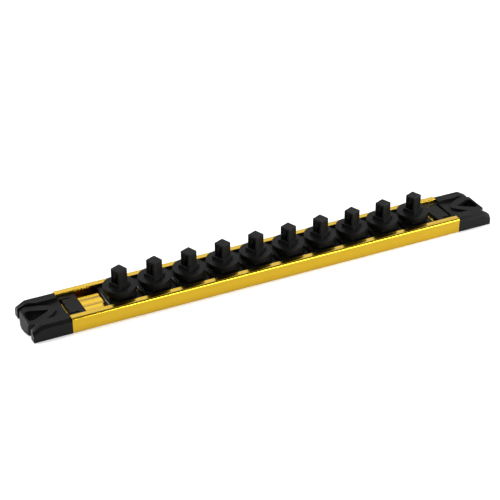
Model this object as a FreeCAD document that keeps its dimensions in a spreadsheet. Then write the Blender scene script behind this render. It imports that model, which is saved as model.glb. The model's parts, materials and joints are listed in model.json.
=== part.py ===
"""Socket rail: an aluminium channel with two moulded end caps and ten twist-lock socket clips.

The channel lies along X with its underside on Z = 0 and its middle at X = Y = 0. Each clip is a
carriage that slides under the lips of the channel, a stud that turns in the carriage and carries
the square post for a socket, and a flat ring that keeps the stud in the carriage.
"""
import FreeCAD, Part

import math
import os
import re

import Sketcher

Vector = FreeCAD.Vector
CLIP_COUNT = 10

# The driving dimensions, in millimetres and degrees. Each is a cell of the sheet, under its own alias.
SIZES = {
    # the extruded channel
    "rail_width": 43.0,
    "rail_height": 12.6,
    "side_wall": 3.1,
    "lip_width": 6.0,
    "lip_thickness": 2.0,
    "groove_floor": 3.0,
    "land_width": 21.4,
    "land_height": 8.0,
    "land_roof": 2.6,
    "land_leg": 2.7,
    "top_corner_radius": 1.6,
    "foot_radius": 0.5,
    "lip_edge_radius": 0.4,
    # the row of clips
    "row_lead": 18.3,
    "row_tail": 4.5,
    "carriage_gap": 1.76,
    "rest_turn": 22.5,
    "twist_angle": 45.0,
    # one clip
    "running_gap": 0.15,
    "disc_radius": 13.0,
    "disc_thickness": 4.8,
    "disc_clearance": 0.6,
    "carriage_margin": 0.5,
    "carriage_corner": 1.0,
    "carriage_top_chamfer": 0.7,
    "boss_overhang": 1.6,
    "boss_corner": 5.0,
    "guide_thickness": 2.0,
    "guide_length": 22.0,
    "guide_floor_gap": 0.8,
    "hub_radius": 4.0,
    "hub_clearance": 0.08,
    "hub_flat_depth": 0.8,
    "ring_thickness": 1.1,
    "ring_width": 2.8,
    "ring_fit": 0.05,
    "ring_lift": 0.6,
    "ring_leg_reach": 5.0,
    "ring_corner": 2.0,
    "recess_clearance": 0.5,
    "peg_half_width": 1.0,
    "peg_depth": 1.3,
    "peg_clearance": 0.2,
    "peg_circle_radius": 8.5,
    "post_width": 9.27,
    "post_height": 14.5,
    "post_edge_chamfer": 0.6,
    "post_top_chamfer": 0.8,
    "foot_margin": 1.2,
    "foot_height": 2.4,
    "leaf_width": 3.2,
    "leaf_slot": 0.8,
    "leaf_length": 9.0,
    "leaf_top_margin": 2.6,
    "leaf_thickness": 1.3,
    "leaf_cavity": 1.2,
    "nub_length": 2.8,
    "nub_height": 0.35,
    # the end cap
    "cap_drop": 0.3,
    "bar_length": 30.6,
    "bar_inner_half": 11.8,
    "bar_side_bevel": 2.4,
    "bar_slope_length": 7.1,
    "bar_slope_drop": 4.0,
    "valley_depth": 1.95,
    "valley_fall": 1.8,
    "arch_nose_distance": 9.07,
    "arch_nose_radius": 4.0,
    "arch_side_radius": 37.4,
    "arch_blend_angle": 135.8,
    "arch_gap": 1.2,
    "web_length": 24.5,
    "loop_drop": 0.3,
    "loop_fall": 2.3,
    "loop_reach": 32.5,
    "loop_end_radius": 28.6,
    "loop_end_half_width": 10.0,
    "loop_corner_length": 5.2,
    "loop_end_lean": 2.8,
    "hole_half_width": 6.4,
    "hole_half_angle": 25.5,
    "hole_flank": 4.2,
    "hole_end_wall": 3.6,
    "hole_corner_radius": 1.4,
    "hole_tip_radius": 0.6,
    "core_wall": 2.2,
    "core_roof": 3.2,
    "core_length": 20.0,
    "plug_length": 14.4,
    "plug_thickness": 2.3,
    "plug_fit": 0.2,
    "plug_lead": 1.0,
    "leg_floor_gap": 0.2,
    "latch_width": 19.4,
    "latch_slot": 1.2,
    "latch_slit": 2.3,
    "latch_slit_distance": 0.5,
    "latch_length": 9.7,
    "barb_setback": 0.8,
    "barb_length": 3.8,
    "barb_depth": 1.8,
    "barb_width": 5.0,
    "window_clearance": 0.35,
}

doc = FreeCAD.newDocument("socket_rail")
sheet = doc.addObject("Spreadsheet::Sheet", "Sizes")
for row, (alias, amount) in enumerate(SIZES.items(), start=1):
    sheet.set("A%d" % row, str(amount))
    sheet.setAlias("A%d" % row, alias)
doc.recompute()

# ---- places worked out from the driving dimensions ----
LIP_UNDERSIDE = "(rail_height - lip_thickness)"
OPENING_HALF = "(rail_width / 2 - lip_width)"
CHANNEL_HALF = "(rail_width / 2 - side_wall)"
LAND_HALF = "(land_width / 2)"

DISC_BOTTOM = "(rail_height + disc_clearance)"
DISC_TOP = "(%s + disc_thickness)" % DISC_BOTTOM
POST_TOP = "(%s + post_height)" % DISC_TOP
CARRIAGE_LENGTH = "(2 * disc_radius + 2 * carriage_margin)"
CLIP_PITCH = "(%s + carriage_gap)" % CARRIAGE_LENGTH
PLATE_BOTTOM = "(land_height + running_gap)"
PLATE_TOP = "(%s - running_gap)" % LIP_UNDERSIDE
BOSS_TOP = "(%s - running_gap)" % DISC_BOTTOM
HUB_BOTTOM = "(%s + running_gap)" % PLATE_BOTTOM
HUB_BORE = "(hub_radius + hub_clearance)"
HUB_FLAT = "(hub_radius - hub_flat_depth)"
RING_BOTTOM = "(%s + ring_lift)" % PLATE_BOTTOM
RING_TOP = "(%s + ring_thickness)" % RING_BOTTOM
RING_LEG_INNER = "(%s + ring_fit)" % HUB_FLAT
RING_LEG_OUTER = "(%s + ring_width)" % RING_LEG_INNER
RING_BOW_INNER = "(hub_radius + ring_fit)"
RING_BOW_OUTER = "(%s + ring_width)" % RING_BOW_INNER
RECESS_HALF = "(sqrt(%s ^ 2 + (%s - ring_corner) ^ 2) + recess_clearance)" % (
    RING_BOW_OUTER, RING_LEG_OUTER)
SHOULDER = "(%s + running_gap)" % RING_TOP
PEG_BOTTOM = "(%s - peg_depth)" % BOSS_TOP
PEG_HALF_SLOT = "(peg_half_width + peg_clearance)"
PEG_SWING = "(2 * atan(%s / (peg_circle_radius - peg_half_width)))" % PEG_HALF_SLOT

RAIL_LENGTH = "(2 * plug_length + row_lead + row_tail + %d * %s + %s)" % (
    CLIP_COUNT - 1, CLIP_PITCH, CARRIAGE_LENGTH)
RAIL_END = "(%s / 2)" % RAIL_LENGTH
FIRST_CLIP = "(plug_length + row_lead + %s / 2 - %s)" % (CARRIAGE_LENGTH, RAIL_END)

CAP_TOP = "(rail_height - cap_drop)"
CAP_HALF = "(rail_width / 2)"
VALLEY_FLOOR = "(%s - valley_depth)" % CAP_TOP
LOOP_TOP = "(%s - loop_drop)" % CAP_TOP
SIDE_SPAN = "(arch_side_radius - arch_nose_radius)"
SIDE_CENTRE_X = "(arch_nose_distance - %s * cos(arch_blend_angle))" % SIDE_SPAN
SIDE_CENTRE_Y = "(%s * sin(arch_blend_angle))" % SIDE_SPAN
BAR_BEND = "(%s - sqrt((arch_side_radius + arch_gap) ^ 2 - (bar_inner_half + %s) ^ 2))" % (
    SIDE_CENTRE_X, SIDE_CENTRE_Y)
LOOP_CENTRE = "(loop_reach - loop_end_radius)"
LOOP_END_X = "(%s + sqrt(loop_end_radius ^ 2 - loop_end_half_width ^ 2))" % LOOP_CENTRE
HOLE_END_RADIUS = "(loop_end_radius - hole_end_wall)"
HOLE_END_X = "(%s + sqrt(%s ^ 2 - hole_half_width ^ 2))" % (LOOP_CENTRE, HOLE_END_RADIUS)
HOLE_SIDE_X = "(%s - hole_flank)" % HOLE_END_X
HOLE_TIP_X = "(%s - hole_half_width / tan(hole_half_angle))" % HOLE_SIDE_X
PLUG_HALF = "(%s - plug_fit)" % CHANNEL_HALF
PLUG_BOTTOM = "(land_height + 0.5 * plug_fit)"
PLUG_TOP = "(%s + plug_thickness)" % PLUG_BOTTOM
LATCH_FREE_END = "(latch_slit_distance + latch_slit)"
BARB_FACE = "(%s + barb_setback)" % LATCH_FREE_END


def value(expression):
    """The number that an expression over the sheet's aliases comes to."""
    return float(sheet.evalExpression(expression))


def bind(target, attribute, expression):
    """Drive a property of an object by an expression over the sheet's aliases."""
    words = re.sub(r"[a-z_]+", lambda word: sheet.Name + "." + word[0] if word[0] in SIZES else word[0],
                   expression)
    target.setExpression(attribute, words)


def origin_plane(body, role):
    return next(feature for feature in body.Origin.OriginFeatures if feature.Role == role)


def new_body(name):
    body = doc.addObject("PartDesign::Body", name)
    body.Label = name
    return body


def new_sketch(body, name, role="XY_Plane", offset="0"):
    """A sketch on one of the body's own planes, lifted off it by an expression."""
    sketch = body.newObject("Sketcher::SketchObject", name)
    sketch.AttachmentSupport = (origin_plane(body, role), [""])
    sketch.MapMode = "FlatFace"
    bind(sketch, "AttachmentOffset.Base.z", offset)
    return sketch


def pin(sketch, element, point, x=None, y=None):
    """Hold one point of an element at expressions for its coordinates."""
    for kind, expression in (("DistanceX", x), ("DistanceY", y)):
        if expression is not None:
            row = sketch.addConstraint(Sketcher.Constraint(kind, -1, 1, element, point, value(expression)))
            bind(sketch, "Constraints[%d]" % row, expression)


def draw_circle(sketch, x, y, radius):
    circle = Part.Circle(Vector(value(x), value(y), 0), Vector(0, 0, 1), value(radius))
    element = sketch.addGeometry(circle)
    pin(sketch, element, 3, x, y)
    row = sketch.addConstraint(Sketcher.Constraint("Radius", element, value(radius)))
    bind(sketch, "Constraints[%d]" % row, radius)


def draw_outline(sketch, start, moves):
    """A closed outline of straight moves (x, y) and arcs (centre x, centre y, x, y, turn).

    The turn of an arc is +1 against the clock and -1 with it. The outline closes with a straight line.
    """
    here = Vector(value(start[0]), value(start[1]), 0)
    first_point = None
    last_point = None
    for move in moves + [start]:
        there = Vector(value(move[-3 if len(move) == 5 else 0]), value(move[-2 if len(move) == 5 else 1]), 0)
        if len(move) == 2:
            element = sketch.addGeometry(Part.LineSegment(here, there))
            begin, end = 1, 2
        else:
            centre = Vector(value(move[0]), value(move[1]), 0)
            tail, head = (here, there) if move[4] > 0 else (there, here)
            begin, end = (1, 2) if move[4] > 0 else (2, 1)
            angles = [math.atan2(point.y - centre.y, point.x - centre.x) for point in (tail, head)]
            circle = Part.Circle(centre, Vector(0, 0, 1), (here - centre).Length)
            element = sketch.addGeometry(Part.ArcOfCircle(circle, angles[0], angles[1]))
            pin(sketch, element, 3, move[0], move[1])
        if last_point is None:
            first_point = (element, begin)
            pin(sketch, element, begin, start[0], start[1])
        else:
            sketch.addConstraint(Sketcher.Constraint("Coincident", *last_point, element, begin))
        last_point = (element, end)
        if move is start:
            sketch.addConstraint(Sketcher.Constraint("Coincident", *last_point, *first_point))
        elif len(move) == 2:
            pin(sketch, element, end, move[0], move[1])
        elif abs(there.y - centre.y) > abs(there.x - centre.x):
            pin(sketch, element, end, x=move[2])
        else:
            pin(sketch, element, end, y=move[3])
        here = there


def draw_rectangle(sketch, left, right, low, high):
    draw_outline(sketch, (left, low), [(right, low), (right, high), (left, high)])


def add_pad(body, sketch, length, symmetric=False, reverse=False):
    pad = body.newObject("PartDesign::Pad", sketch.Name + "_pad")
    pad.Profile = sketch
    pad.Reversed = reverse
    if symmetric:
        pad.SideType = "Symmetric"
    bind(pad, "Length", length)
    doc.recompute()
    return pad


def cut_pocket(body, sketch, length=None, symmetric=False, reverse=False):
    """Pocket a sketch to a depth, or right through on both sides where no depth is given."""
    before = body.Shape.Volume
    pocket = body.newObject("PartDesign::Pocket", sketch.Name + "_pocket")
    pocket.Profile = sketch
    pocket.Reversed = reverse
    if symmetric or length is None:
        pocket.SideType = "Symmetric"
    if length is None:
        pocket.Type = "ThroughAll"
    else:
        bind(pocket, "Length", length)
    doc.recompute()
    if body.Shape.Volume >= before:
        raise RuntimeError(pocket.Name + " cuts nothing")
    return pocket


def turn_profile(body, sketch, kind, angle=None):
    """Revolve a profile about the part's Z axis, to add (Revolution) or to cut (Groove)."""
    feature = body.newObject("PartDesign::" + kind, sketch.Name + "_turned")
    feature.Profile = sketch
    feature.ReferenceAxis = (sketch, ["V_Axis"])
    if angle is not None:
        feature.Midplane = True
        bind(feature, "Angle", angle)
    doc.recompute()
    return feature


def dress(body, kind, name, amount, wanted):
    """Fillet or chamfer the edges that the wanted test picks out."""
    base = body.Tip
    edges = ["Edge%d" % (index + 1) for index, edge in enumerate(base.Shape.Edges) if wanted(edge)]
    if not edges:
        raise RuntimeError(name + " finds no edge")
    feature = body.newObject("PartDesign::" + kind, name)
    feature.Base = (base, edges)
    bind(feature, "Radius" if kind == "Fillet" else "Size", amount)
    doc.recompute()
    return feature


def near(number, expression):
    return abs(number - value(expression)) < 0.01


def middle(edge):
    return edge.valueAt((edge.FirstParameter + edge.LastParameter) / 2)


def runs_along(edge, axis):
    """Whether an edge is straight and parallel to an axis."""
    if not isinstance(edge.Curve, Part.Line):
        return False
    return abs(abs(edge.Curve.Direction.dot(axis)) - 1) < 1e-6


ALONG_X = Vector(1, 0, 0)
ALONG_Y = Vector(0, 1, 0)
ALONG_Z = Vector(0, 0, 1)


# ---- the extruded channel ----
def build_rail():
    """Channel with inturned lips, a raised land on its floor and a hollow under the land."""
    body = new_body("rail")
    outline = new_sketch(body, "rail_outline", "YZ_Plane")
    draw_rectangle(outline, "-rail_width / 2", "rail_width / 2", "0", "rail_height")
    add_pad(body, outline, RAIL_LENGTH, symmetric=True)

    opening = new_sketch(body, "rail_opening", "YZ_Plane")
    draw_rectangle(opening, "-" + OPENING_HALF, OPENING_HALF, "land_height", "rail_height")
    cut_pocket(body, opening)
    for side, sign in (("near", "-"), ("far", "")):
        groove = new_sketch(body, "rail_%s_groove" % side, "YZ_Plane")
        inner = sign + LAND_HALF
        mouth = sign + OPENING_HALF
        outer = sign + CHANNEL_HALF
        draw_outline(groove, (inner, "groove_floor"),
                     [(outer, "groove_floor"), (outer, LIP_UNDERSIDE), (mouth, LIP_UNDERSIDE),
                      (mouth, "land_height"), (inner, "land_height")])
        cut_pocket(body, groove)
    recess = new_sketch(body, "rail_recess", "YZ_Plane")
    recess_half = "(%s - land_leg)" % LAND_HALF
    draw_rectangle(recess, "-" + recess_half, recess_half, "0", "land_height - land_roof")
    cut_pocket(body, recess)

    windows = new_sketch(body, "rail_latch_windows", offset="land_height")
    for sign in ("-", ""):
        near_end = "%s(%s - %s + window_clearance)" % (sign, RAIL_END, BARB_FACE)
        far_end = "%s(%s - %s - barb_length - window_clearance)" % (sign, RAIL_END, BARB_FACE)
        half = "(barb_width / 2 + window_clearance)"
        draw_rectangle(windows, near_end, far_end, "-" + half, half)
    cut_pocket(body, windows, "land_roof")

    def at(half_width, height):
        return lambda edge: (runs_along(edge, ALONG_X) and near(abs(middle(edge).y), half_width)
                             and near(middle(edge).z, height))

    dress(body, "Fillet", "rail_top_corners", "top_corner_radius", at("rail_width / 2", "rail_height"))
    dress(body, "Fillet", "rail_feet", "foot_radius", at("rail_width / 2", "0"))
    dress(body, "Fillet", "rail_lip_edges", "lip_edge_radius", at(OPENING_HALF, "rail_height"))
    return body


# ---- the end cap ----
def arch_height(radius_change, x):
    """Half-width of an arch parallel to the loop's flank, at a distance from the seam."""
    return "(sqrt((arch_side_radius + %s) ^ 2 - (%s - %s) ^ 2) - %s)" % (
        radius_change, x, SIDE_CENTRE_X, SIDE_CENTRE_Y)


def add_valley(body):
    """Sunk floor between the bars, which starts level with the plug's plate and falls outward."""
    floor = new_sketch(body, "valley_floor")
    draw_rectangle(floor, "0", "web_length", "-" + CAP_HALF, CAP_HALF)
    add_pad(body, floor, VALLEY_FLOOR)
    fall = new_sketch(body, "valley_fall", "XZ_Plane")
    draw_outline(fall, ("0", VALLEY_FLOOR),
                 [("web_length", "%s - valley_fall" % VALLEY_FLOOR), ("web_length", VALLEY_FLOOR)])
    cut_pocket(body, fall, "rail_width", symmetric=True)


def add_loop(body):
    """Hanging loop: an arched nose toward the seam, a top that falls outward, a leaning convex end."""
    side_end = "(%s - loop_corner_length)" % LOOP_END_X
    blend_x = "(arch_nose_distance + arch_nose_radius * cos(arch_blend_angle))"
    blend_y = "(arch_nose_radius * sin(arch_blend_angle))"
    flank_end = arch_height("0", side_end)
    outline = new_sketch(body, "loop_outline")
    draw_outline(outline, (side_end, "-" + flank_end),
                 [(SIDE_CENTRE_X, SIDE_CENTRE_Y, blend_x, "-" + blend_y, -1),
                  ("arch_nose_distance", "0", blend_x, blend_y, -1),
                  (SIDE_CENTRE_X, "-" + SIDE_CENTRE_Y, side_end, flank_end, -1),
                  (LOOP_END_X, "loop_end_half_width"),
                  (LOOP_CENTRE, "0", LOOP_END_X, "-loop_end_half_width", -1)])
    add_pad(body, outline, LOOP_TOP)
    slope = new_sketch(body, "loop_slope", "XZ_Plane")
    draw_outline(slope, ("0", LOOP_TOP),
                 [("loop_reach", "%s - loop_fall" % LOOP_TOP), ("loop_reach", LOOP_TOP)])
    cut_pocket(body, slope, "rail_width", symmetric=True)
    lean = new_sketch(body, "loop_end_lean", "XZ_Plane")
    draw_outline(lean, ("loop_reach - loop_end_lean", LOOP_TOP),
                 [("loop_reach", "0"), ("loop_reach", LOOP_TOP)])
    cut_pocket(body, lean, "rail_width", symmetric=True)


def add_bar(body, side, sign):
    """Raised bar along one edge, with an inner wall that follows the loop and an end that slopes down."""
    bar = new_sketch(body, "%s_bar" % side)
    inner_end = arch_height("arch_gap", "bar_length")
    draw_outline(bar, ("0", sign + "bar_inner_half"),
                 [(BAR_BEND, sign + "bar_inner_half"),
                  (SIDE_CENTRE_X, ("" if sign else "-") + SIDE_CENTRE_Y, "bar_length", sign + inner_end,
                   1 if sign else -1),
                  ("bar_length", sign + CAP_HALF), ("0", sign + CAP_HALF)])
    add_pad(body, bar, CAP_TOP)
    wall = "(%s - bar_inner_half)" % CAP_HALF
    slope = new_sketch(body, "%s_bar_slope" % side, "XZ_Plane",
                       "%s(%s - 0.8 * %s)" % ("" if sign else "-", CAP_HALF, wall))
    draw_outline(slope, ("bar_length - bar_slope_length", CAP_TOP),
                 [("bar_length", "%s - bar_slope_drop" % CAP_TOP), ("bar_length", CAP_TOP)])
    cut_pocket(body, slope, wall, reverse=bool(sign))


def cut_hanging_hole(body):
    """Teardrop hole through the loop, its tip toward the seam."""
    hole = new_sketch(body, "hanging_hole")
    draw_outline(hole, (HOLE_TIP_X, "0"),
                 [(HOLE_SIDE_X, "-hole_half_width"), (HOLE_END_X, "-hole_half_width"),
                  (LOOP_CENTRE, "0", HOLE_END_X, "hole_half_width", 1),
                  (HOLE_SIDE_X, "hole_half_width")])
    cut_pocket(body, hole)
    dress(body, "Fillet", "hole_tip", "hole_tip_radius",
          lambda edge: runs_along(edge, ALONG_Z) and near(middle(edge).x, HOLE_TIP_X))
    dress(body, "Fillet", "hole_corners", "hole_corner_radius",
          lambda edge: runs_along(edge, ALONG_Z) and near(middle(edge).x, HOLE_END_X)
          and near(abs(middle(edge).y), "hole_half_width"))


def finish_bars(body):
    """Bevels along the outer top edges, and cores in the underside of the bars."""
    dress(body, "Chamfer", "bar_bevels", "bar_side_bevel",
          lambda edge: near(abs(middle(edge).y), CAP_HALF) and not runs_along(edge, ALONG_Z)
          and middle(edge).z > value("%s - bar_slope_drop" % CAP_TOP))
    inner_wall = "(arch_gap + core_wall)"
    core_side = "(%s - core_wall)" % CAP_HALF
    for side, sign in (("near", "-"), ("far", "")):
        core = new_sketch(body, "%s_core" % side)
        draw_outline(core, ("core_wall", sign + core_side),
                     [("core_length", sign + core_side),
                      ("core_length", sign + arch_height(inner_wall, "core_length")),
                      (SIDE_CENTRE_X, ("" if sign else "-") + SIDE_CENTRE_Y, "core_wall",
                       sign + arch_height(inner_wall, "core_wall"), -1 if sign else 1)])
        cut_pocket(body, core, "%s - core_roof" % VALLEY_FLOOR, reverse=True)


def add_plug(body):
    """Plate and legs that fill the channel's end, with the latch that snaps into the land."""
    plate = new_sketch(body, "plug_plate", offset=PLUG_BOTTOM)
    draw_outline(plate, ("0", "-" + PLUG_HALF),
                 [("0", PLUG_HALF), ("plug_lead - plug_length", PLUG_HALF),
                  ("-plug_length", "%s - plug_lead" % PLUG_HALF),
                  ("-plug_length", "plug_lead - %s" % PLUG_HALF),
                  ("plug_lead - plug_length", "-" + PLUG_HALF)])
    add_pad(body, plate, "plug_thickness")
    legs = new_sketch(body, "plug_legs", offset="groove_floor + leg_floor_gap")
    leg_inner = "(%s + plug_fit)" % LAND_HALF
    for sign in ("-", ""):
        draw_rectangle(legs, "2 * plug_lead - plug_length", "0", sign + leg_inner, sign + PLUG_HALF)
    add_pad(body, legs, "%s - groove_floor - leg_floor_gap" % PLUG_BOTTOM)

    latch = new_sketch(body, "latch_slots", offset=PLUG_TOP)
    half = "(latch_width / 2)"
    outer = "(%s + latch_slot)" % half
    draw_outline(latch, ("-latch_slit_distance", "-" + outer),
                 [("-latch_slit_distance", outer), ("-latch_length", outer), ("-latch_length", half),
                  ("-" + LATCH_FREE_END, half), ("-" + LATCH_FREE_END, "-" + half),
                  ("-latch_length", "-" + half), ("-latch_length", "-" + outer)])
    cut_pocket(body, latch, "plug_thickness + groove_floor")
    barb = new_sketch(body, "latch_barb", "XZ_Plane")
    draw_outline(barb, ("-" + BARB_FACE, PLUG_BOTTOM),
                 [("-%s - barb_length" % BARB_FACE, PLUG_BOTTOM),
                  ("-" + BARB_FACE, "%s - barb_depth" % PLUG_BOTTOM)])
    add_pad(body, barb, "barb_width", symmetric=True)


def build_end_cap(name, at_left):
    body = new_body(name)
    add_valley(body)
    add_loop(body)
    for side, sign in (("near", "-"), ("far", "")):
        add_bar(body, side, sign)
    cut_hanging_hole(body)
    finish_bars(body)
    add_plug(body)
    if at_left:
        body.Placement = FreeCAD.Placement(Vector(), FreeCAD.Rotation(ALONG_Z, 180))
    bind(body, "Placement.Base.x", ("-" if at_left else "") + RAIL_END)
    return body


# ---- one clip ----
def build_carriage(name):
    """Sliding block with flanges under the lips and a boss that the stud turns in."""
    body = new_body(name)
    plate = new_sketch(body, name + "_plate", offset=PLATE_BOTTOM)
    plate_half = "(%s - plug_fit)" % CHANNEL_HALF
    draw_rectangle(plate, "-%s / 2" % CARRIAGE_LENGTH, "%s / 2" % CARRIAGE_LENGTH,
                   "-" + plate_half, plate_half)
    add_pad(body, plate, "%s - %s" % (PLATE_TOP, PLATE_BOTTOM))
    dress(body, "Chamfer", name + "_corners", "carriage_corner", lambda edge: runs_along(edge, ALONG_Z))
    dress(body, "Chamfer", name + "_bevels", "carriage_top_chamfer",
          lambda edge: runs_along(edge, ALONG_Y) and near(middle(edge).z, PLATE_TOP))

    boss = new_sketch(body, name + "_boss", offset=PLATE_TOP)
    boss_half = "(disc_radius - boss_overhang)"
    draw_rectangle(boss, "-" + boss_half, boss_half, "-" + boss_half, boss_half)
    add_pad(body, boss, "%s - %s" % (BOSS_TOP, PLATE_TOP))
    dress(body, "Chamfer", name + "_boss_corners", "boss_corner",
          lambda edge: runs_along(edge, ALONG_Z) and middle(edge).z > value(PLATE_TOP))
    guides = new_sketch(body, name + "_guides", offset=PLATE_BOTTOM)
    guide_inner = "(%s + plug_fit)" % LAND_HALF
    for sign in ("-", ""):
        draw_rectangle(guides, "-guide_length / 2", "guide_length / 2",
                       sign + guide_inner, "%s(%s + guide_thickness)" % (sign, guide_inner))
    add_pad(body, guides, "%s - groove_floor - guide_floor_gap" % PLATE_BOTTOM, reverse=True)

    bore = new_sketch(body, name + "_bore", offset=BOSS_TOP)
    draw_circle(bore, "0", "0", HUB_BORE)
    cut_pocket(body, bore, "%s - %s" % (BOSS_TOP, PLATE_BOTTOM))
    recess = new_sketch(body, name + "_ring_recess", offset=PLATE_BOTTOM)
    draw_rectangle(recess, "-" + RECESS_HALF, RECESS_HALF, "-" + RECESS_HALF, RECESS_HALF)
    cut_pocket(body, recess, "%s - %s" % (SHOULDER, PLATE_BOTTOM), reverse=True)

    stop_slot = new_sketch(body, name + "_stop_slot", "XZ_Plane")
    draw_rectangle(stop_slot, "peg_circle_radius - " + PEG_HALF_SLOT, "peg_circle_radius + " + PEG_HALF_SLOT,
                   "%s - peg_clearance" % PEG_BOTTOM, BOSS_TOP)
    turn_profile(body, stop_slot, "Groove", "twist_angle * 1 deg + " + PEG_SWING)
    return body


def build_stud(name):
    """Turning stud: hub with two flats for the ring, collar, foot and square drive post."""
    body = new_body(name)
    profile = new_sketch(body, name + "_profile", "XZ_Plane")
    draw_outline(profile, ("0", HUB_BOTTOM),
                 [("hub_radius", HUB_BOTTOM), ("hub_radius", DISC_BOTTOM),
                  ("disc_radius", DISC_BOTTOM), ("disc_radius", DISC_TOP), ("0", DISC_TOP)])
    turn_profile(body, profile, "Revolution")
    for side, sign in (("near", "-"), ("far", "")):
        flat = new_sketch(body, "%s_%s_flat" % (name, side), offset=RING_BOTTOM + " - ring_fit")
        draw_rectangle(flat, "-hub_radius", "hub_radius", sign + HUB_FLAT, sign + "hub_radius")
        cut_pocket(body, flat, "ring_thickness + 2 * ring_fit", reverse=True)
    foot = new_sketch(body, name + "_foot", offset=DISC_TOP)
    foot_half = "(post_width / 2 + foot_margin)"
    draw_rectangle(foot, "-" + foot_half, foot_half, "-" + foot_half, foot_half)
    add_pad(body, foot, "foot_height")
    post = new_sketch(body, name + "_post", offset=DISC_TOP)
    draw_rectangle(post, "-post_width / 2", "post_width / 2", "-post_width / 2", "post_width / 2")
    add_pad(body, post, "post_height")
    dress(body, "Chamfer", name + "_post_edges", "post_edge_chamfer",
          lambda edge: runs_along(edge, ALONG_Z) and near(abs(middle(edge).x), "post_width / 2")
          and near(abs(middle(edge).y), "post_width / 2"))
    dress(body, "Chamfer", name + "_post_top", "post_top_chamfer",
          lambda edge: near(middle(edge).z, POST_TOP))

    # spring leaf on the -X face of the post: two slots beside it and a cavity behind it
    leaf_top = "(%s - leaf_top_margin)" % POST_TOP
    leaf_foot = "(%s - leaf_length)" % leaf_top
    slots = new_sketch(body, name + "_leaf_slots", "YZ_Plane", "-post_width / 2")
    for sign in ("-", ""):
        draw_rectangle(slots, sign + "leaf_width / 2", "%s(leaf_width / 2 + leaf_slot)" % sign,
                       leaf_foot, leaf_top)
    cut_pocket(body, slots, "leaf_thickness + leaf_cavity", reverse=True)
    cavity = new_sketch(body, name + "_leaf_cavity", "YZ_Plane", "leaf_thickness - post_width / 2")
    draw_rectangle(cavity, "-leaf_width / 2", "leaf_width / 2", leaf_foot, leaf_top)
    cut_pocket(body, cavity, "leaf_cavity", reverse=True)
    nub = new_sketch(body, name + "_nub", "XZ_Plane")
    nub_top = "(%s - nub_length / 2)" % leaf_top
    draw_outline(nub, ("-post_width / 2", nub_top),
                 [("-post_width / 2 - nub_height", "%s - nub_length / 2" % nub_top),
                  ("-post_width / 2", "%s - nub_length" % nub_top)])
    add_pad(body, nub, "leaf_width", symmetric=True)

    peg = new_sketch(body, name + "_stop_peg", offset=PEG_BOTTOM)
    draw_rectangle(peg, "peg_circle_radius - peg_half_width", "peg_circle_radius + peg_half_width",
                   "-peg_half_width", "peg_half_width")
    add_pad(body, peg, "%s - %s" % (DISC_BOTTOM, PEG_BOTTOM))
    return body


def build_ring(name):
    """Flat horseshoe ring that slides onto the flats of the hub from its +X side."""
    body = new_body(name)
    outline = new_sketch(body, name + "_outline", offset=RING_BOTTOM)
    draw_outline(outline, ("-ring_leg_reach", "-" + RING_LEG_OUTER),
                 [("%s - ring_corner" % RING_BOW_OUTER, "-" + RING_LEG_OUTER),
                  (RING_BOW_OUTER, "ring_corner - %s" % RING_LEG_OUTER),
                  (RING_BOW_OUTER, "%s - ring_corner" % RING_LEG_OUTER),
                  ("%s - ring_corner" % RING_BOW_OUTER, RING_LEG_OUTER),
                  ("-ring_leg_reach", RING_LEG_OUTER), ("-ring_leg_reach", RING_LEG_INNER),
                  (RING_BOW_INNER, RING_LEG_INNER), (RING_BOW_INNER, "-" + RING_LEG_INNER),
                  ("-ring_leg_reach", "-" + RING_LEG_INNER)])
    add_pad(body, outline, "ring_thickness")
    return body


def place_clip(index):
    """Carriage, stud and ring of one clip of the row, counted from the -X end."""
    number = "%02d" % (index + 1)
    carriage = build_carriage("clip_carriage_" + number)
    stud = build_stud("clip_stud_" + number)
    ring = build_ring("stud_retainer_" + number)
    for body in (stud, ring):
        body.Placement = FreeCAD.Placement(Vector(), FreeCAD.Rotation(ALONG_Z, 1))
        bind(body, "Placement.Rotation.Angle", "rest_turn")
    for body in (carriage, stud, ring):
        bind(body, "Placement.Base.x", "%s + %d * %s" % (FIRST_CLIP, index, CLIP_PITCH))
    return [carriage, stud, ring]


sub_parts = [build_rail(), build_end_cap("end_cap_left", True), build_end_cap("end_cap_right", False)]
for clip_index in range(CLIP_COUNT):
    sub_parts += place_clip(clip_index)
doc.recompute()

for item in doc.Objects:
    if "Invalid" in item.State or "Error" in item.State:
        raise RuntimeError("%s failed: %s" % (item.Name, item.State))
for part in sub_parts:
    if part.Shape.isNull() or not part.Shape.isValid() or len(part.Shape.Solids) != 1:
        raise RuntimeError("%s has no single valid solid" % part.Label)

os.makedirs("parts", exist_ok=True)
for part in sub_parts:
    part.Shape.exportStep("parts/%s.step" % part.Label)
    box = part.Shape.BoundBox
    print("%-20s volume %8.1f  x %.2f %.2f  y %.2f %.2f  z %.2f %.2f" % (
        part.Label, part.Shape.Volume, box.XMin, box.XMax, box.YMin, box.YMax, box.ZMin, box.ZMax))
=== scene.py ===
"""Looks of the socket rail: anodised channel, moulded end caps and twist-lock socket clips.

Laid out as an add-on with one operator for each group of pieces, and run as a script.
"""
import json
import math

import bpy
from mathutils import Matrix, Vector

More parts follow.
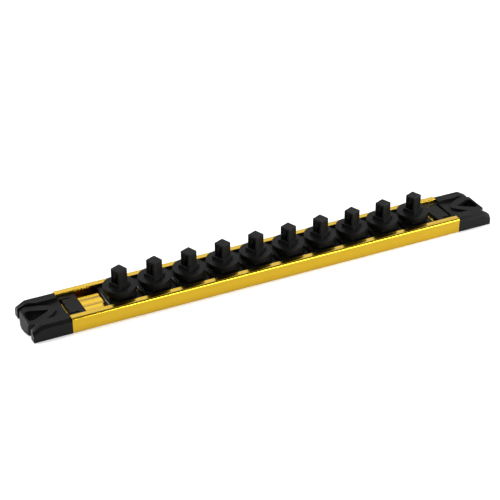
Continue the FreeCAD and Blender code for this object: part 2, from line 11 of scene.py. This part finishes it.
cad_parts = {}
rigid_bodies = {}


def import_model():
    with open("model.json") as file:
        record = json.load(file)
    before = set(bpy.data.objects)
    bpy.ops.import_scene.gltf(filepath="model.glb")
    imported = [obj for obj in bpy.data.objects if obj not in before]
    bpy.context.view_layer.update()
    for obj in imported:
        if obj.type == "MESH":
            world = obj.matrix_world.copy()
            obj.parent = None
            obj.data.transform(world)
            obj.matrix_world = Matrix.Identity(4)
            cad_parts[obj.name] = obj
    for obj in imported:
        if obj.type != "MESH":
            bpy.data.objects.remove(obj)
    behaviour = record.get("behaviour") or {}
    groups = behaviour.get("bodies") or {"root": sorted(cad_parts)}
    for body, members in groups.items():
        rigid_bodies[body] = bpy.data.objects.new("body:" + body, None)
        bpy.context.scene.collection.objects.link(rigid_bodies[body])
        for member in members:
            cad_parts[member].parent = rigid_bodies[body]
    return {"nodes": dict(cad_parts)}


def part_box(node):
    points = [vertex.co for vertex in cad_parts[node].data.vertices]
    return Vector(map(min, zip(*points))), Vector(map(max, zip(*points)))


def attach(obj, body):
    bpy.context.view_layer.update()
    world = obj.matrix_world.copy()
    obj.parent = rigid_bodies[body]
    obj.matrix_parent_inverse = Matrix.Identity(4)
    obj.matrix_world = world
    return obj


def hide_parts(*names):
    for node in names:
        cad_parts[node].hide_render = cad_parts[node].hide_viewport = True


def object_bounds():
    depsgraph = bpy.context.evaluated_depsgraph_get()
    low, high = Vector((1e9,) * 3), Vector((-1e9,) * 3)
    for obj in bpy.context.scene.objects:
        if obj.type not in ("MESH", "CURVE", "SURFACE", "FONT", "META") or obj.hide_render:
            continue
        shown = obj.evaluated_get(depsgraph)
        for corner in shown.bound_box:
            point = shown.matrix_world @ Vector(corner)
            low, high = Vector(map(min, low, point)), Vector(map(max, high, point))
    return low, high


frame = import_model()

bl_info = {
    "name": "Socket Rail",
    "version": (1, 0, 0),
    "blender": (4, 5, 0),
    "location": "3D View > Sidebar > Socket Rail",
    "description": "Dresses the socket rail and lights it in a plain studio",
    "category": "Object",
}

CAD_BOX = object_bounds()
MM = 0.001

# ---- meshes ----
MERGE_DISTANCE = 0.002 * MM
CUT_DISTANCE = 0.001 * MM
FLAT_ANGLE = math.radians(0.8)
SHARP_ANGLE = math.radians(32.0)
EDGE_SEGMENTS = 2
CAP_EDGE_SEGMENTS = 3
CLIP_NUMBERS = ["%02d" % number for number in range(1, 11)]
FIRST_CLIP = CLIP_NUMBERS[0]

# ---- finishes ----
EVEN = (1.0, 1.0, 1.0)
BLACK = (0.0, 0.0, 0.0, 1.0)
WHITE = (1.0, 1.0, 1.0, 1.0)

# The noise behind each finish. Where a stretch is large, the noise is fine along that axis.
DIE_LINES = dict(scale=1.0, detail=3.0, stretch=(6.0, 2600.0, 2600.0), roughness=0.6)
EXTRUSION_WAVES = dict(scale=1.0, detail=0.0, stretch=(0.8, 330.0, 330.0))
ANODISE_CLOUDS = dict(scale=60.0, detail=3.0)
MOULD_GRAIN = dict(scale=3800.0, detail=2.0)
FLOW_MARKS = dict(scale=90.0, detail=4.0)
SCUFFS = dict(scale=240.0, detail=5.0, stretch=(1.0, 1.0, 0.35), roughness=0.7)
RUBBED_STEEL = dict(scale=900.0, detail=3.0)
FLOOR_MOTTLE = dict(scale=3.0, detail=2.0)

# How far the clouds and the die lines shift the anodise between its two shades.
CLOUD_SHARE = 0.5
DIE_LINE_SHARE = 0.25

# How much darker and lighter than its own colour each finish gets.
ANODISE_SHADES = (0.92, 1.06)
PLASTIC_SHADES = (0.8, 1.25)
SCUFF_SHADE = 1.9
FLOOR_SHADES = (0.995, 1.0)
STEEL_DARK = (0.42, 0.42, 0.43, 1.0)
STEEL_LIGHT = (0.6, 0.6, 0.61, 1.0)
SCUFF_STOPS = ((0.58, BLACK), (0.74, WHITE))

# How rough each finish is, and how far its noise changes that in all.
DIE_LINE_ROUGHNESS = 0.1
CLOUD_ROUGHNESS = 0.05
LEAST_ANODISE_ROUGHNESS = 0.05
FLOW_ROUGHNESS = 0.18
GRAIN_ROUGHNESS = 0.1
LEAST_PLASTIC_ROUGHNESS = 0.1
STEEL_ROUGHNESS = 0.25
RUBBED_ROUGHNESS = 0.2
FLOOR_ROUGHNESS = 0.9

# The clear seal over the anodise.
SEAL_WEIGHT = 0.22
SEAL_ROUGHNESS = 0.12

DIE_LINE_DEPTH = 0.01 * MM
DIE_LINE_STRENGTH = 0.6
GRAIN_DEPTH = 0.03 * MM
GRAIN_STRENGTH = 0.5

# The raised land on the channel's floor is rippled between the windows for the latches.
LAND_TOP_LIMIT = 9.0 * MM
OPEN_LAND_HALF = 156.0 * MM
LAND_RIPPLE_PITCH = 7.5 * MM
LAND_RIPPLE_START = 1.5 * MM

# ---- studio ----
SENSOR_WIDTH = 36.0
FLOOR_HEIGHT = -0.2 * MM
CENTRE = (0.0, 0.0, 0.0)
LEFT_OF_CENTRE = (-0.2, 0.0, 0.0)

# Each light's name, its place, the point that it faces, its width and depth, and its watts.
SOFTBOXES = (
    # a bright line along the rail's rounded top corner
    ("front_card", (0.56, -1.0, 0.18), CENTRE, 0.8, 0.34, 13.5),
    # the near side of the rail
    ("right_softbox", (1.7, -0.25, 1.0), CENTRE, 1.4, 1.4, 26.0),
    # an even fill on the tops
    ("top_softbox", (-0.7, 0.4, 1.5), CENTRE, 1.0, 1.2, 17.0),
    # a sheen on the lips and the land
    ("back_card", (0.8, 1.55, 1.05), CENTRE, 1.8, 0.5, 3.4),
    # a glint on the slopes of the land's ripples
    ("high_card", (0.72, 1.3, 1.36), CENTRE, 1.8, 0.28, 3.0),
    # the left faces of the posts and caps
    ("low_card", (-1.0, 1.4, 0.3), LEFT_OF_CENTRE, 0.8, 0.5, 30.0),
)


# ---- shader maths ----
def find_socket(sockets, key):
    """The socket at a place, or with an identifier whose spaces may be written as underscores."""
    if isinstance(key, int):
        return sockets[key]
    return next(s for s in sockets if key in (s.identifier, s.identifier.replace(" ", "_")))


class Wire:
    """A value in a node tree that can be used in Python sums."""

    def __init__(self, shader, socket):
        self.shader = shader
        self.socket = socket

    def _math(self, operation, *values):
        return self.shader.node("ShaderNodeMath", {"operation": operation}, *values)["Value"]

    def __add__(self, other):
        return self._math("ADD", self, other)

    __radd__ = __add__

    def __sub__(self, other):
        return self._math("SUBTRACT", self, other)

    def __rsub__(self, other):
        return self._math("SUBTRACT", other, self)

    def __mul__(self, other):
        return self._math("MULTIPLY", self, other)

    __rmul__ = __mul__

    def __abs__(self):
        return self._math("ABSOLUTE", self)

    def sine(self):
        """The sine of an angle in radians."""
        return self._math("SINE", self)

    def below(self, limit):
        """One where the value is under the limit, and nothing elsewhere."""
        return self._math("LESS_THAN", self, limit)

    def swing(self, width):
        """Noise turned into a change of half this width to either side."""
        return (self - 0.5) * width

    def clamped(self, low, high=1.0):
        """The value, kept between two limits."""
        return self._math("MINIMUM", self._math("MAXIMUM", self, low), high)


class Outputs:
    """The output sockets of one node, by name."""

    def __init__(self, shader, node):
        self.shader = shader
        self.node = node

    def __getitem__(self, name):
        return Wire(self.shader, find_socket(self.node.outputs, name))


class Shader:
    """A material whose nodes are added by type, settings and socket values."""

    def __init__(self, name):
        self.material = bpy.data.materials.new(name)
        self.material.use_nodes = True
        self.tree = self.material.node_tree
        self.tree.nodes.clear()

    def node(self, kind, settings=None, *values, **named):
        """Add a node, make its settings, then set or link its sockets by place or by name."""
        node = self.tree.nodes.new(kind)
        for key, setting in (settings or {}).items():
            if key == "stops":
                self._set_stops(node.color_ramp, setting)
            else:
                setattr(node, key, setting)
        for key, value in (*enumerate(values), *named.items()):
            socket = find_socket(node.inputs, key)
            if isinstance(value, Wire):
                self.tree.links.new(value.socket, socket)
            else:
                socket.default_value = value
        return Outputs(self, node)

    @staticmethod
    def _set_stops(ramp, stops):
        while len(ramp.elements) < len(stops):
            ramp.elements.new(1.0)
        for element, (place, colour) in zip(ramp.elements, stops):
            element.position = place
            element.color = colour

    def place(self, scale=EVEN):
        """Object coordinates in metres, stretched by a scale along each axis."""
        coordinates = self.node("ShaderNodeTexCoord")["Object"]
        settings = {"vector_type": "POINT"}
        return self.node("ShaderNodeMapping", settings, Vector=coordinates, Scale=scale)["Vector"]

    def along(self, axis):
        """Distance in metres along one of the object's axes."""
        return self.node("ShaderNodeSeparateXYZ", None, self.place())[axis]

    def noise(self, scale, detail, stretch=EVEN, roughness=0.5):
        """Noise from nothing to one, whose scale counts its features in a metre."""
        settings = {"noise_dimensions": "3D"}
        return self.node("ShaderNodeTexNoise", settings, Vector=self.place(stretch), Scale=scale,
                         Detail=detail, Roughness=roughness)["Fac"]

    def ramp(self, factor, stops):
        return self.node("ShaderNodeValToRGB", {"stops": stops}, factor)["Color"]

    def mix(self, factor, first, second):
        """The first colour where the factor is nothing, and the second where it is one."""
        return self.node("ShaderNodeMix", {"data_type": "RGBA"}, Factor_Float=factor,
                         A_Color=first, B_Color=second)["Result_Color"]

    def bump(self, height, distance, strength=1.0, **over):
        """A normal tilted by a height. Another normal may be given for it to lie over."""
        return self.node("ShaderNodeBump", None, Height=height, Distance=distance,
                         Strength=strength, **over)["Normal"]

    def finish(self, **sockets):
        """Close the tree with the surface, and return the material."""
        surface = self.node("ShaderNodeBsdfPrincipled", None, **sockets)["BSDF"]
        self.node("ShaderNodeOutputMaterial", None, surface)
        return self.material


def shade(colour, scale):
    """A colour made darker or lighter, with its alpha."""
    return (colour[0] * scale, colour[1] * scale, colour[2] * scale, 1.0)


def shades(colour, scales):
    """A darker and a lighter shade of a colour."""
    return [shade(colour, scale) for scale in scales]


# ---- materials ----
def anodised_gold(looks):
    """Satin gold anodise on an extrusion, with fine die lines and shallow waves along X."""
    shader = Shader("anodised_gold")
    lines = shader.noise(**DIE_LINES)
    waves = shader.noise(**EXTRUSION_WAVES)
    clouds = shader.noise(**ANODISE_CLOUDS)
    ripple = ((shader.along("Y") - LAND_RIPPLE_START) * (2 * math.pi / LAND_RIPPLE_PITCH)).sine()
    on_land = shader.along("Z").below(LAND_TOP_LIMIT) * abs(shader.along("X")).below(OPEN_LAND_HALF)
    rippled = shader.bump(ripple * on_land, looks.land_ripple)
    wavy = shader.bump(waves, looks.wave_height, Normal=rippled)
    rough = looks.gold_roughness + lines.swing(DIE_LINE_ROUGHNESS) + clouds.swing(CLOUD_ROUGHNESS)
    tint = clouds * CLOUD_SHARE + lines * DIE_LINE_SHARE
    return shader.finish(
        Base_Color=shader.mix(tint, *shades(looks.gold, ANODISE_SHADES)),
        Metallic=1.0,
        Roughness=rough.clamped(LEAST_ANODISE_ROUGHNESS),
        Coat_Weight=SEAL_WEIGHT,
        Coat_Roughness=SEAL_ROUGHNESS,
        Normal=shader.bump(lines, DIE_LINE_DEPTH, DIE_LINE_STRENGTH, Normal=wavy))


def moulded_black(looks, name):
    """Black moulded nylon with a fine spark texture, faint flow marks and a few scuffs."""
    shader = Shader(name)
    grain = shader.noise(**MOULD_GRAIN)
    flow = shader.noise(**FLOW_MARKS)
    scuffs = shader.ramp(shader.noise(**SCUFFS), SCUFF_STOPS)
    fresh = shader.mix(flow, *shades(looks.plastic, PLASTIC_SHADES))
    rough = looks.plastic_roughness + flow.swing(FLOW_ROUGHNESS) + grain.swing(GRAIN_ROUGHNESS)
    return shader.finish(
        Base_Color=shader.mix(scuffs, fresh, shade(looks.plastic, SCUFF_SHADE)),
        Roughness=rough.clamped(LEAST_PLASTIC_ROUGHNESS),
        Specular_IOR_Level=looks.plastic_gloss,
        Normal=shader.bump(grain, GRAIN_DEPTH, GRAIN_STRENGTH))


def spring_steel():
    """Bright flat steel, rubbed a little unevenly."""
    shader = Shader("spring_steel")
    rubbed = shader.noise(**RUBBED_STEEL)
    return shader.finish(
        Base_Color=shader.mix(rubbed, STEEL_DARK, STEEL_LIGHT),
        Metallic=1.0,
        Roughness=rubbed * RUBBED_ROUGHNESS + STEEL_ROUGHNESS)


def pale_floor(studio):
    """A matt pale table top that gives out a little light of its own."""
    shader = Shader("pale_floor")
    mottle = shader.noise(**FLOOR_MOTTLE)
    return shader.finish(
        Base_Color=shader.mix(mottle, *shades(studio.floor, FLOOR_SHADES)),
        Roughness=FLOOR_ROUGHNESS,
        Emission_Color=WHITE,
        Emission_Strength=studio.floor_glow)


# ---- pieces made from the nodes of the frame ----
def select_only(obj):
    """Select one object, make it the active one, and leave all others out."""
    bpy.ops.object.select_all(action="DESELECT")
    obj.select_set(True)
    bpy.context.view_layer.objects.active = obj


def paint(obj, material):
    """Give an object one material for all its faces."""
    obj.data.materials.clear()
    obj.data.materials.append(material)


def merged_copy(node_name, piece_name):
    """A copy of a node's mesh, with its facets merged into whole faces."""
    select_only(frame["nodes"][node_name])
    bpy.ops.object.duplicate()
    bpy.ops.object.parent_clear(type="CLEAR_KEEP_TRANSFORM")
    piece = bpy.context.active_object
    piece.name = piece_name
    piece.data.name = piece_name
    bpy.ops.object.mode_set(mode="EDIT")
    bpy.ops.mesh.select_all(action="SELECT")
    bpy.ops.mesh.remove_doubles(threshold=MERGE_DISTANCE)
    bpy.ops.mesh.dissolve_limited(angle_limit=FLAT_ANGLE)
    bpy.ops.object.mode_set(mode="OBJECT")
    return piece


def round_edges(piece, width, segments=EDGE_SEGMENTS):
    """Round the sharp edges of a piece as its mould or its anodising does."""
    select_only(piece)
    bevel = piece.modifiers.new("rounded_edges", "BEVEL")
    bevel.width = width
    bevel.segments = segments
    bevel.limit_method = "ANGLE"
    bevel.angle_limit = SHARP_ANGLE
    bevel.use_clamp_overlap = False
    bpy.ops.object.modifier_apply(modifier=bevel.name)
    bpy.ops.object.shade_smooth_by_angle(angle=SHARP_ANGLE)
    normals = piece.modifiers.new("even_normals", "WEIGHTED_NORMAL")
    normals.keep_sharp = True
    bpy.ops.object.modifier_apply(modifier=normals.name)


def trim_to_frame(piece):
    """Cut off what the rounding pushes past the ends of the frame's box."""
    select_only(piece)
    bpy.ops.object.mode_set(mode="EDIT")
    for end, outward in zip(CAD_BOX, (-1.0, 1.0)):
        bpy.ops.mesh.select_all(action="SELECT")
        bpy.ops.mesh.bisect(plane_co=(end[0], 0.0, 0.0), plane_no=(outward, 0.0, 0.0),
                            use_fill=True, clear_outer=True, threshold=CUT_DISTANCE)
    bpy.ops.object.mode_set(mode="OBJECT")


def stand_for(piece, node_name, body):
    """Let a piece stand for a node of the frame, and move with its body."""
    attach(piece, body)
    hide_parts(node_name)


def shifted_copy(piece, name, distance):
    """A copy of a piece with its own mesh, moved along X."""
    select_only(piece)
    bpy.ops.object.duplicate()
    copy = bpy.context.active_object
    copy.name = name
    copy.data.name = name
    copy.location.x += distance
    bpy.ops.object.transform_apply(location=True)
    return copy


def clip_place(number):
    """Distance along X of a clip's axis."""
    low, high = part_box("clip_carriage_" + number)
    return (low[0] + high[0]) / 2


def dress_clips(kind, looks):
    """Model the first clip's carriage or stud, and copy it for the other clips.

    Each copy stands for the node of its own clip.
    """
    piece_stem, node_stem, body_stem = "moulded_" + kind + "_", "clip_" + kind + "_", kind + "_"
    first = merged_copy(node_stem + FIRST_CLIP, piece_stem + FIRST_CLIP)
    round_edges(first, looks.clip_edge)
    paint(first, moulded_black(looks, "moulded_" + kind))
    row = [first]
    for number in CLIP_NUMBERS[1:]:
        distance = clip_place(number) - clip_place(FIRST_CLIP)
        row.append(shifted_copy(first, piece_stem + number, distance))
    for piece, number in zip(row, CLIP_NUMBERS):
        stand_for(piece, node_stem + number, body_stem + number)


# ---- settings ----
class SocketRailLooks(bpy.types.PropertyGroup):
    """Colours and finishes of the rail and its clips."""
    gold: bpy.props.FloatVectorProperty(
        name="Anodise", description="Colour of the anodised rail",
        default=(0.51, 0.324, 0.0125), subtype="COLOR")
    gold_roughness: bpy.props.FloatProperty(
        name="Anodise Roughness", description="How satin the anodised rail is",
        default=0.15, subtype="FACTOR")
    wave_height: bpy.props.FloatProperty(
        name="Wave Height", description="Depth of the extrusion's shallow waves",
        default=0.2 * MM, unit="LENGTH")
    land_ripple: bpy.props.FloatProperty(
        name="Land Ripple", description="Height of the ripples on the raised land",
        default=0.1 * MM, unit="LENGTH")
    plastic: bpy.props.FloatVectorProperty(
        name="Plastic", description="Colour of the moulded plastic",
        default=(0.0022, 0.0023, 0.0021), subtype="COLOR")
    plastic_roughness: bpy.props.FloatProperty(
        name="Plastic Roughness", description="How matt the moulded plastic is",
        default=0.42, subtype="FACTOR")
    plastic_gloss: bpy.props.FloatProperty(
        name="Plastic Gloss", description="Strength of the plastic's reflections",
        default=0.12, subtype="FACTOR")
    rail_edge: bpy.props.FloatProperty(
        name="Rail Edge", description="Rounding of the rail's sharp edges",
        default=0.12 * MM, unit="LENGTH")
    cap_edge: bpy.props.FloatProperty(
        name="Cap Edge", description="Rounding of the end caps' edges",
        default=0.2 * MM, unit="LENGTH")
    clip_edge: bpy.props.FloatProperty(
        name="Clip Edge", description="Rounding of the clips' edges",
        default=0.25 * MM, unit="LENGTH")


class SocketRailStudio(bpy.types.PropertyGroup):
    """Floor, lights and camera."""
    floor: bpy.props.FloatVectorProperty(
        name="Floor", description="Colour of the floor",
        default=(0.97, 0.97, 0.97), subtype="COLOR")
    floor_glow: bpy.props.FloatProperty(
        name="Floor Glow", description="Light that the floor gives out, as a lit table does",
        default=0.15)
    floor_size: bpy.props.FloatProperty(
        name="Floor Size", description="Side of the square floor",
        default=24.0, unit="LENGTH")
    surround: bpy.props.FloatProperty(
        name="Surround", description="Brightness of the room round the object",
        default=0.3)
    camera_place: bpy.props.FloatVectorProperty(
        name="Camera Place", description="Where the camera stands",
        default=(-0.4676, -0.9205, 0.6380), subtype="TRANSLATION")
    camera_turn: bpy.props.FloatProperty(
        name="Camera Turn", description="Direction that the camera looks in, from +Y towards +X",
        default=math.radians(26.31), subtype="ANGLE")
    camera_dip: bpy.props.FloatProperty(
        name="Camera Dip", description="How far the camera looks down",
        default=math.radians(31.08), subtype="ANGLE")
    camera_roll: bpy.props.FloatProperty(
        name="Camera Roll", description="Turn of the camera about its own axis",
        default=math.radians(0.13), subtype="ANGLE")
    lens: bpy.props.FloatProperty(
        name="Lens", description="Focal length of the camera in millimetres",
        default=110.2)


# ---- operators ----
class SOCKETRAIL_OT_dress_rail(bpy.types.Operator):
    """Round the channel's edges and give it its anodised finish"""
    bl_idname = "socket_rail.dress_rail"
    bl_label = "Dress Rail"

    def execute(self, context):
        looks = context.scene.socket_rail_looks
        channel = merged_copy("rail", "anodised_channel")
        round_edges(channel, looks.rail_edge)
        paint(channel, anodised_gold(looks))
        stand_for(channel, "rail", "channel")
        return {"FINISHED"}


class SOCKETRAIL_OT_dress_caps(bpy.types.Operator):
    """Round the end caps' edges and give them their moulded finish"""
    bl_idname = "socket_rail.dress_caps"
    bl_label = "Dress End Caps"

    def execute(self, context):
        looks = context.scene.socket_rail_looks
        finish = moulded_black(looks, "moulded_cap")
        for side in ("left", "right"):
            cap = merged_copy("end_cap_" + side, "moulded_cap_" + side)
            round_edges(cap, looks.cap_edge, CAP_EDGE_SEGMENTS)
            trim_to_frame(cap)
            paint(cap, finish)
            stand_for(cap, "end_cap_" + side, "channel")
        return {"FINISHED"}


class SOCKETRAIL_OT_dress_carriages(bpy.types.Operator):
    """Make the moulded carriages of the clips"""
    bl_idname = "socket_rail.dress_carriages"
    bl_label = "Dress Carriages"

    def execute(self, context):
        dress_clips("carriage", context.scene.socket_rail_looks)
        return {"FINISHED"}


class SOCKETRAIL_OT_dress_studs(bpy.types.Operator):
    """Make the moulded studs of the clips"""
    bl_idname = "socket_rail.dress_studs"
    bl_label = "Dress Studs"

    def execute(self, context):
        dress_clips("stud", context.scene.socket_rail_looks)
        return {"FINISHED"}


class SOCKETRAIL_OT_dress_retainers(bpy.types.Operator):
    """Give the flat rings under the clips their spring steel finish"""
    bl_idname = "socket_rail.dress_retainers"
    bl_label = "Dress Retainers"

    def execute(self, context):
        finish = spring_steel()
        for number in CLIP_NUMBERS:
            paint(frame["nodes"]["stud_retainer_" + number], finish)
        return {"FINISHED"}


def add_softbox(name, place, aim, width, depth, watts):
    """Add a rectangular light that faces the point it is aimed at."""
    data = bpy.data.lights.new(name, "AREA")
    data.shape = "RECTANGLE"
    data.size = width
    data.size_y = depth
    data.energy = watts
    lamp = bpy.data.objects.new(name, data)
    bpy.context.scene.collection.objects.link(lamp)
    lamp.location = place
    lamp.rotation_euler = (Vector(aim) - Vector(place)).to_track_quat("-Z", "Y").to_euler()


def add_floor(studio):
    """Lay the floor just under the object."""
    bpy.ops.object.select_all(action="DESELECT")
    bpy.ops.mesh.primitive_plane_add(size=studio.floor_size, location=(0.0, 0.0, FLOOR_HEIGHT))
    floor = bpy.context.active_object
    floor.name = "floor"
    bpy.ops.object.transform_apply(location=True)
    paint(floor, pale_floor(studio))


def add_surround(scene, brightness):
    """Fill the room round the object with even white light."""
    world = bpy.data.worlds.new("studio_world")
    scene.world = world
    world.use_nodes = True
    background = world.node_tree.nodes["Background"]
    background.inputs["Color"].default_value = WHITE
    background.inputs["Strength"].default_value = brightness


def add_camera(scene, studio):
    """Stand the camera in its place and turn it to the object."""
    data = bpy.data.cameras.new("camera")
    data.lens = studio.lens
    data.sensor_width = SENSOR_WIDTH
    camera = bpy.data.objects.new("camera", data)
    scene.collection.objects.link(camera)
    turn = Matrix.Rotation(-studio.camera_turn, 4, "Z")
    dip = Matrix.Rotation(math.pi / 2 - studio.camera_dip, 4, "X")
    roll = Matrix.Rotation(studio.camera_roll, 4, "Z")
    camera.matrix_world = Matrix.Translation(studio.camera_place) @ turn @ dip @ roll
    scene.camera = camera


class SOCKETRAIL_OT_set_stage(bpy.types.Operator):
    """Add the floor, the soft lights and the camera"""
    bl_idname = "socket_rail.set_stage"
    bl_label = "Set Stage"

    def execute(self, context):
        studio = context.scene.socket_rail_studio
        add_floor(studio)
        add_surround(context.scene, studio.surround)
        for softbox in SOFTBOXES:
            add_softbox(*softbox)
        add_camera(context.scene, studio)
        context.scene.view_settings.view_transform = "Standard"
        return {"FINISHED"}


class SOCKETRAIL_PT_panel(bpy.types.Panel):
    """Sidebar panel that lists the settings, then the pieces in the order they are made"""
    bl_label = "Socket Rail"
    bl_space_type = "VIEW_3D"
    bl_region_type = "UI"
    bl_category = "Socket Rail"

    def draw(self, context):
        for group in (context.scene.socket_rail_looks, context.scene.socket_rail_studio):
            for name in group.bl_rna.properties.keys():
                if name not in ("rna_type", "name"):
                    self.layout.prop(group, name)
        for operator in OPERATORS:
            self.layout.operator(operator.bl_idname)


OPERATORS = (
    SOCKETRAIL_OT_dress_rail,
    SOCKETRAIL_OT_dress_caps,
    SOCKETRAIL_OT_dress_carriages,
    SOCKETRAIL_OT_dress_studs,
    SOCKETRAIL_OT_dress_retainers,
    SOCKETRAIL_OT_set_stage,
)
CLASSES = (SocketRailLooks, SocketRailStudio) + OPERATORS + (SOCKETRAIL_PT_panel,)


def register():
    """Make the classes and their settings known to Blender."""
    for cls in CLASSES:
        bpy.utils.register_class(cls)
    bpy.types.Scene.socket_rail_looks = bpy.props.PointerProperty(type=SocketRailLooks)
    bpy.types.Scene.socket_rail_studio = bpy.props.PointerProperty(type=SocketRailStudio)


def unregister():
    """Undo what register does, in the opposite order."""
    del bpy.types.Scene.socket_rail_studio
    del bpy.types.Scene.socket_rail_looks
    for cls in reversed(CLASSES):
        bpy.utils.unregister_class(cls)


def main():
    """Make the pieces and the stage."""
    register()
    bpy.ops.socket_rail.dress_rail()
    bpy.ops.socket_rail.dress_caps()
    bpy.ops.socket_rail.dress_carriages()
    bpy.ops.socket_rail.dress_studs()
    bpy.ops.socket_rail.dress_retainers()
    bpy.ops.socket_rail.set_stage()


if __name__ == "__main__":
    main()
